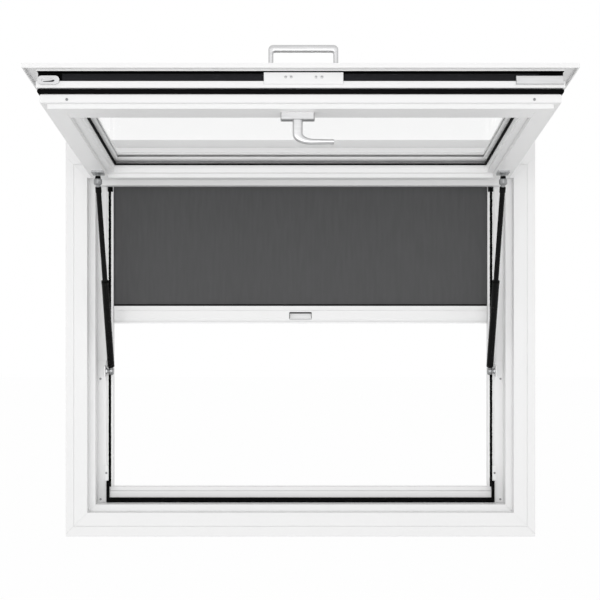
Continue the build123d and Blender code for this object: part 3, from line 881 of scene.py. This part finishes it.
class WINDOW_OT_seals(bpy.types.Operator):
    """Model the sash seal, the glazing gasket and sealant, the sill's bead and the brush pile"""

    bl_idname = "window.seals"
    bl_label = "Seals and brushes"

    def execute(self, context):
        trim = context.scene.window_trim
        seal_in = 0.023
        seal_width = 2 * (SASH_HALF_WIDTH - seal_in)
        seal_length = SASH_LENGTH - 2 * seal_in
        seal = flat_ring(seal_width, seal_length, band=0.006, thick=0.0084)

        def on_rim(a, b):
            level = abs(a.z - b.z) < NEAR
            reach = [max(abs(end.x) - seal_width / 2, abs(end.y) - seal_length / 2) for end in (a, b)]
            return level and min(reach) > -NEAR

        edit(seal)
        pick_edges(seal, on_rim)
        bevel_edges(offset=0.0034, segments=4)
        close_edit()
        settle(seal, on_inner_face(0.0, SASH_MIDDLE, down=0.0378))
        hand_over(seal, "sash_bulb_seal", "seal_rubber", sharp=50.0)
        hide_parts("sash_seal")

        # The lock rail is wider than the stiles, so the gasket's ring is shorter and nearer the hinge
        gasket_in = 0.074
        lip_in = 0.0868
        lock_rail_extra = 0.024
        gasket_width = 2 * (SASH_HALF_WIDTH - gasket_in)
        gasket_length = SASH_LENGTH - lock_rail_extra - 2 * gasket_in
        gasket_band = lip_in - gasket_in
        gasket = lipped_ring(gasket_width, gasket_length, gasket_band, thick=0.003, edge=0.0018, segments=3)
        settle(gasket, on_inner_face(0.0, SASH_MIDDLE - lock_rail_extra / 2, down=0.043))
        hand_over(gasket, "glazing_lip_gasket", "seal_rubber", sharp=50.0)
        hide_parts("glazing_gasket")

        # Sealant between the panes, with the inner corner of its ring cut at a slope
        spacer_in = 0.079
        glass_lip_in = 0.089
        sealant_width = 2 * (SASH_HALF_WIDTH - spacer_in)
        sealant_length = SASH_LENGTH - 2 * spacer_in
        sealant_band = glass_lip_in - spacer_in
        sealant = lipped_ring(
            sealant_width, sealant_length, sealant_band, thick=0.0076, edge=0.0072, segments=1
        )
        settle(sealant, on_inner_face(0.0, SASH_MIDDLE, down=0.0302))
        hand_over(sealant, "spacer_sealant", "white_tape", sharp=50.0)

        rail_low, rail_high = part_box("sill_rail")
        bead_length = rail_high.x - rail_low.x - 0.014
        bead = rounded_block(size=(bead_length, 0.0024, 0.0011), edge=0.0004)
        settle(bead, Matrix.Translation((0.0, rail_low.y + 0.0004, rail_low.z + 0.0052)))
        hand_over(bead, "sill_bead", "satin_metal")

        # One strip of pile, spread and uneven at its tips, and its copy for the other guide
        low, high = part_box("guide_brushes")
        pile_in = 0.00225
        pile_width = 0.0044
        pile_height = 0.0042
        tip_spread = 1.28
        left_pile = open_grid(columns=6, rows=420, width=pile_width, length=high.z - low.z)
        extrude(pile_height)
        face_outwards()
        pick_faces(left_pile, lambda middle, normal: normal.z > 0.9)
        bpy.ops.transform.resize(value=(tip_spread, 1.0, 1.0))
        bpy.ops.transform.vertex_random(offset=trim.pile_rise, uniform=0.0, normal=1.0, seed=4)
        close_edit()
        right_pile = copy_of(left_pile)
        for side, pile, x in (("left", left_pile, low.x + pile_in), ("right", right_pile, high.x - pile_in)):
            settle(pile, on_front(x, high.y, (low.z + high.z) / 2))
            hand_over(pile, f"{side}_brush_pile", "brush_pile")
        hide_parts("guide_brushes")
        return {"FINISHED"}


class WINDOW_OT_screws(bpy.types.Operator):
    """Model one recessed screw head and set copies of it on the frame, sash and brackets"""

    bl_idname = "window.screws"
    bl_label = "Screws"

    def execute(self, context):
        radius = context.scene.window_trim.screw_radius
        deselect()
        bpy.ops.mesh.primitive_cylinder_add(vertices=20, radius=radius, depth=0.0016)
        screw = context.object
        edit(screw)
        pick_all()
        bpy.ops.transform.translate(value=(0.0, 0.0, 0.0006))
        pick_edges(screw, lambda a, b: min(a.z, b.z) > 0.001)
        bevel_edges(offset=0.0007, segments=3)
        pick_faces(screw, lambda middle, normal: normal.z > 0.95 and middle.z > 0.0013)
        bpy.ops.mesh.inset(thickness=radius * 0.3, depth=0.0)
        extrude(-0.001)
        bpy.ops.transform.resize(value=(0.7, 0.7, 1.0))
        close_edit()

        stop_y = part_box("left_stop")[0].y
        stop_screw_x = 0.4345
        foot_z = 0.3085
        stop_z = 0.0465
        catch_x = 0.4215
        catch_z = 0.10425
        rail_x = 0.3915
        plate_down = SASH_DEPTH + 0.004
        plate_pitch = 0.012
        places = []
        for side, sign in SIDES:
            stop_x = sign * stop_screw_x
            strut_x = sign * STRUT_X
            plate_a = on_inner_face(strut_x, STRUT_TOP_ALONG - plate_pitch, plate_down)
            plate_b = on_inner_face(strut_x, STRUT_TOP_ALONG + plate_pitch, plate_down)
            places += [
                (f"{side}_foot_screw", on_front(stop_x, stop_y - 0.003, foot_z), "zinc_steel"),
                (f"{side}_stop_screw", on_front(stop_x, stop_y, stop_z), "zinc_steel"),
                (f"{side}_catch_screw", on_front(sign * catch_x, stop_y - 0.005, catch_z), "zinc_steel"),
                (f"{side}_rail_screw", on_edge(sign * rail_x, SASH_END - 0.027, down=0.0557), "zinc_steel"),
                (f"{side}_plate_screw_a", plate_a, "zinc_steel"),
                (f"{side}_plate_screw_b", plate_b, "zinc_steel"),
            ]
        for number, across in enumerate((-0.0249, -0.0158, 0.0257, 0.0357), start=1):
            place = on_edge(across, EDGE_FACE + 0.004, down=0.0198)
            places.append((f"cover_screw_{number}", place, "satin_metal"))
        for name, place, slot in places:
            head = copy_of(screw)
            settle(head, place)
            hand_over(head, name, slot, sharp=30.0)
        remove(screw)
        return {"FINISHED"}


class WINDOW_OT_struts(bpy.types.Operator):
    """Model the collars, rod caps and stud washers of the struts, and the end plugs of the screen guides"""

    bl_idname = "window.struts"
    bl_label = "Strut trim and guide plugs"

    def execute(self, context):
        radius = 0.0079
        deselect()
        bpy.ops.mesh.primitive_cylinder_add(vertices=32, radius=radius, depth=0.007)
        collar = context.object
        edit(collar)
        pick_faces(collar, lambda middle, normal: normal.z > 0.9)
        bpy.ops.mesh.inset(thickness=0.0022, depth=0.0)
        extrude(0.0014)
        pick_edges(collar, lambda a, b: abs(a.z - b.z) < 0.00001 and abs(a.xy.length - radius) < NEAR)
        bevel_edges(offset=0.0008, segments=2)
        close_edit()

        plug = rounded_block(size=(0.011, 0.012, 0.004), edge=0.0012)
        edit(plug)
        pick_faces(plug, lambda middle, normal: normal.z > 0.95)
        bpy.ops.mesh.inset(thickness=0.0025, depth=0.0)
        extrude(-0.0012)
        close_edit()

        rail_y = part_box("left_guide_rail")[0].y
        plug_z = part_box("screen_cassette")[0].z - 0.0065
        collar_along = 0.2235
        cap_back = 0.0185
        plug_x = 0.4135
        cap_scale = Matrix.Diagonal((0.8, 0.8, 1.7, 1.0))
        washer_scale = Matrix.Scale(0.72, 4)
        washer_down = STRUT_TOP_DOWN - 0.0085
        for side, sign in SIDES:
            strut_x = sign * STRUT_X
            low = STRUT_LOW + RIGHT * strut_x
            top = sash_point(strut_x, STRUT_TOP_ALONG, STRUT_TOP_DOWN)
            way = (top - low).normalized()
            across = way.cross(RIGHT)
            copies = (
                ("strut_collar", collar, placing(RIGHT, across, low + way * collar_along), "strut_black"),
                ("rod_cap", collar, placing(RIGHT, across, top - way * cap_back) @ cap_scale, "strut_black"),
                ("guide_plug", plug, on_front(sign * plug_x, rail_y - 0.002, plug_z), "groove_black"),
                (
                    "stud_washer",
                    collar,
                    on_inner_face(strut_x, STRUT_TOP_ALONG, washer_down) @ washer_scale,
                    "seal_rubber",
                ),
            )
            for name, master, place, slot in copies:
                piece = copy_of(master)
                settle(piece, place)
                hand_over(piece, f"{side}_{name}", slot)
        remove(collar, plug)
        return {"FINISHED"}


class WINDOW_OT_lock(bpy.types.Operator):
    """Model a curved dark steel strip in the left lock tongue's recess, painted shade standing in for the
    shadow in the recess
    """

    bl_idname = "window.lock"
    bl_label = "Lock recess shade"

    def execute(self, context):
        pairs = [
            ((-0.0085, -0.0022), (-0.0085, 0.0006)),
            ((-0.004, -0.0021), (-0.004, 0.0009)),
            ((0.001, -0.0018), (0.001, 0.0013)),
            ((0.005, -0.0012), (0.005, 0.0020)),
            ((0.0085, 0.0004), (0.0075, 0.0028)),
            ((0.0102, 0.0022), (0.0085, 0.0034)),
        ]
        # A dark steel strip shaped like a hook, lying in the recess: painted shade for the recess's shadow
        recess_shade = bow_loft(pairs, width=0.002, corner=0.0006)
        root = sash_point(across=-0.4215, along=EDGE_FACE + 0.0036, down=0.0275)
        settle(recess_shade, placing(RIGHT, -ALONG, root))
        hand_over(recess_shade, "tongue_recess_shade", "lock_steel")
        return {"FINISHED"}


# Stage


def seen_rays(tree):
    """A node that gives 1 for camera, glossy and transmission rays, and 0 for the rest."""
    path = add_node(tree, "ShaderNodeLightPath")
    seen = add_node(tree, "ShaderNodeMath", operation="MAXIMUM")
    through = add_node(tree, "ShaderNodeMath", operation="MAXIMUM")
    link(tree, path, "Is Camera Ray", seen, 0)
    link(tree, path, "Is Glossy Ray", seen, 1)
    link(tree, seen, "Value", through, 0)
    link(tree, path, "Is Transmission Ray", through, 1)
    return through


def floor_paper():
    """White paper that keeps the window's shadow under it and fades to plain white further off."""
    material, tree, shader = node_tree("floor_paper")
    shader.inputs["Roughness"].default_value = 0.9
    shade_ramp(tree, noise(tree, scale=3.0), shader, (0.92, 0.92, 0.92), (0.95, 0.95, 0.95))
    spot = add_node(tree, "ShaderNodeVectorMath", operation="LENGTH")
    fade = add_node(
        tree, "ShaderNodeMapRange", {"From Min": 0.5, "From Max": 1.45, "To Min": 0.55, "To Max": 0.97}
    )
    share = add_node(tree, "ShaderNodeMath", operation="MULTIPLY")
    paper = add_node(tree, "ShaderNodeEmission", {"Color": (1.0, 1.0, 1.0, 1.0), "Strength": 1.0})
    blend = add_node(tree, "ShaderNodeMixShader")
    link(tree, object_mapping(tree, (1.0, 1.0, 1.0)), "Vector", spot, 0)
    link(tree, spot, "Value", fade, "Value")
    link(tree, seen_rays(tree), "Value", share, 0)
    link(tree, fade, "Result", share, 1)
    link(tree, share, "Value", blend, "Fac")
    link(tree, shader, "BSDF", blend, 1)
    link(tree, paper, "Emission", blend, 2)
    link(tree, blend, "Shader", tree.nodes["Material Output"], "Surface")
    return material


def studio_world(ambient):
    """A white surround that lights the window softly and shows as plain white."""
    world = bpy.data.worlds.new("studio")
    world.use_nodes = True
    tree = world.node_tree
    background = tree.nodes["Background"]
    background.inputs["Color"].default_value = (1.0, 1.0, 1.0, 1.0)
    strength = add_node(tree, "ShaderNodeMapRange", {"To Min": ambient, "To Max": 1.0})
    link(tree, seen_rays(tree), "Value", strength, "Value")
    link(tree, strength, "Result", background, "Strength")
    return world


class WINDOW_OT_stage(bpy.types.Operator):
    """Add the floor, the light and the camera"""

    bl_idname = "window.stage"
    bl_label = "Stage"

    def execute(self, context):
        stage = context.scene.window_stage
        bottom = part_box("frame_sill")[0].z
        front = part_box("frame_sill")[0].y
        shadow_y = -0.33
        key_x = -0.5
        key_rise = 0.6
        target_rise = 0.4
        camera_x = -0.001
        deselect()
        bpy.ops.mesh.primitive_plane_add(size=30.0, location=(0.0, shadow_y, bottom - stage.floor_drop))
        floor = context.object
        floor.name = "floor"
        floor.data.materials.append(floor_paper())
        context.scene.world = studio_world(stage.ambient)
        context.scene.view_settings.view_transform = "Standard"

        bpy.ops.object.light_add(type="AREA", location=(key_x, front - stage.key_distance, bottom + key_rise))
        key = context.object
        key.name = "key_light"
        key.data.shape = "RECTANGLE"
        key.data.size = stage.key_width
        key.data.size_y = stage.key_tall
        key.data.energy = stage.key_power
        target = Vector((0.0, 0.0, bottom + target_rise))
        key.rotation_euler = (target - key.location).to_track_quat("-Z", "Y").to_euler()

        bpy.ops.object.camera_add(
            location=(camera_x, front - stage.camera_distance, bottom + stage.camera_height),
            rotation=(math.pi / 2, 0.0, 0.0),
        )
        camera = context.object
        camera.data.lens = stage.lens
        camera.data.sensor_width = 36.0
        context.scene.camera = camera
        return {"FINISHED"}


class WINDOW_PT_panel(bpy.types.Panel):
    """Lists the steps that finish the window"""

    bl_idname = "WINDOW_PT_panel"
    bl_label = "Serving Window"
    bl_space_type = "VIEW_3D"
    bl_region_type = "UI"
    bl_category = "Window"

    def draw(self, context):
        for operator in OPERATORS:
            self.layout.operator(operator.bl_idname)


OPERATORS = (
    WINDOW_OT_finishes,
    WINDOW_OT_lever,
    WINDOW_OT_pull,
    WINDOW_OT_screen,
    WINDOW_OT_seals,
    WINDOW_OT_screws,
    WINDOW_OT_struts,
    WINDOW_OT_lock,
    WINDOW_OT_stage,
)
GROUPS = {
    "window_finish": WindowFinish,
    "window_lever": WindowLever,
    "window_trim": WindowTrim,
    "window_stage": WindowStage,
}
CLASSES = (*GROUPS.values(), *OPERATORS, WINDOW_PT_panel)


def register():
    for entry in CLASSES:
        bpy.utils.register_class(entry)
    for name, group in GROUPS.items():
        setattr(bpy.types.Scene, name, PointerProperty(type=group))


def unregister():
    for name in GROUPS:
        delattr(bpy.types.Scene, name)
    for entry in reversed(CLASSES):
        bpy.utils.unregister_class(entry)


def main():
    register()
    bpy.ops.window.finishes()
    bpy.ops.window.lever()
    bpy.ops.window.pull()
    bpy.ops.window.screen()
    bpy.ops.window.seals()
    bpy.ops.window.screws()
    bpy.ops.window.struts()
    bpy.ops.window.lock()
    bpy.ops.window.stage()


if __name__ == "__main__":
    main()
